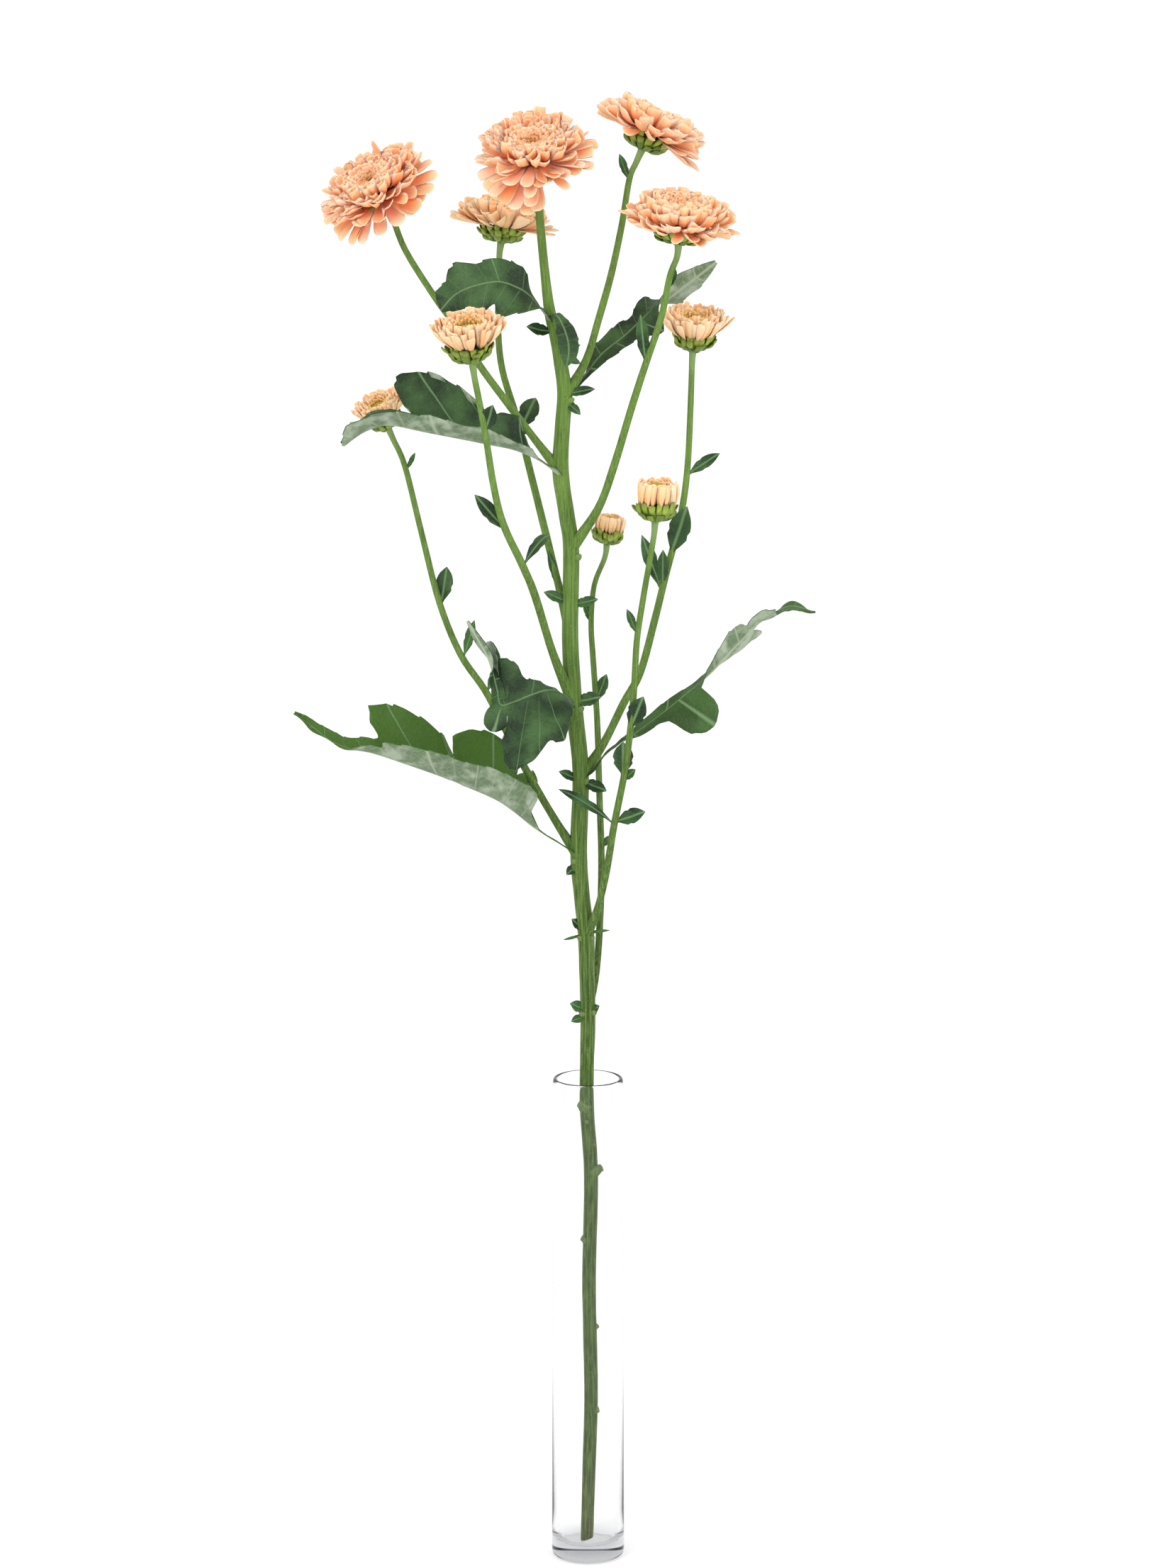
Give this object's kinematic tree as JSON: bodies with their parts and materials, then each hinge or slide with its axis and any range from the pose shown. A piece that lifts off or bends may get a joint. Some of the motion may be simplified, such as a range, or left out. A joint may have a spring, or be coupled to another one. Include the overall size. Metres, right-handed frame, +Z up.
{
  "type": "chrysanthemum spray in a vase",
  "caption": "Cut spray of apricot chrysanthemums, open heads, half open heads and buds on a branching leafy stem, standing in a tall narrow clear glass vase.",
  "frame": {"origin": "middle of the flat base that the vase stands on", "axes": "+Z up along the vase, +X to the right and -Y to the front of the spray as the picture shows it"},
  "size_m": [0.2478, 0.1432, 0.7108],
  "materials": {
    "glass": "clear, fire polished",
    "stem": "fresh green, ribbed, finely haired",
    "leaf": "matt dark green above, grey felted below",
    "calyx": "satin green bracts with brown edges",
    "petal": "soft salmon apricot",
    "young_petal": "soft yellow apricot",
    "disc": "matt ochre florets",
    "young_disc": "matt yellow-green florets"
  },
  "bodies": {
    "root": {"vase": "glass", "main_stem": "stem", "calyx_top": "calyx", "petals_top": "petal", "disc_top": "disc", "side_stem_1": "stem", "calyx_1": "calyx", "petals_1": "young_petal", "disc_1": "young_disc", "side_stem_2": "stem", "calyx_2": "calyx", "petals_2": "young_petal", "disc_2": "young_disc", "side_stem_3": "stem", "calyx_3": "calyx", "petals_3": "young_petal", "disc_3": "young_disc", "side_stem_4": "stem", "calyx_4": "calyx", "petals_4": "young_petal", "disc_4": "young_disc", "side_stem_5": "stem", "calyx_5": "calyx", "petals_5": "young_petal", "disc_5": "young_disc", "side_stem_6": "stem", "calyx_6": "calyx", "petals_6": "young_petal", "disc_6": "young_disc", "side_stem_7": "stem", "calyx_7": "calyx", "petals_7": "petal", "disc_7": "disc", "side_stem_8": "stem", "calyx_8": "calyx", "petals_8": "petal", "disc_8": "disc", "side_stem_9": "stem", "calyx_9": "calyx", "petals_9": "petal", "disc_9": "disc", "leaf_1": "leaf", "leaf_2": "leaf", "leaf_3": "leaf", "leaf_4": "leaf", "leaf_5": "leaf", "leaf_6": "leaf", "leaf_7": "leaf"}
  },
  "joints": []
}
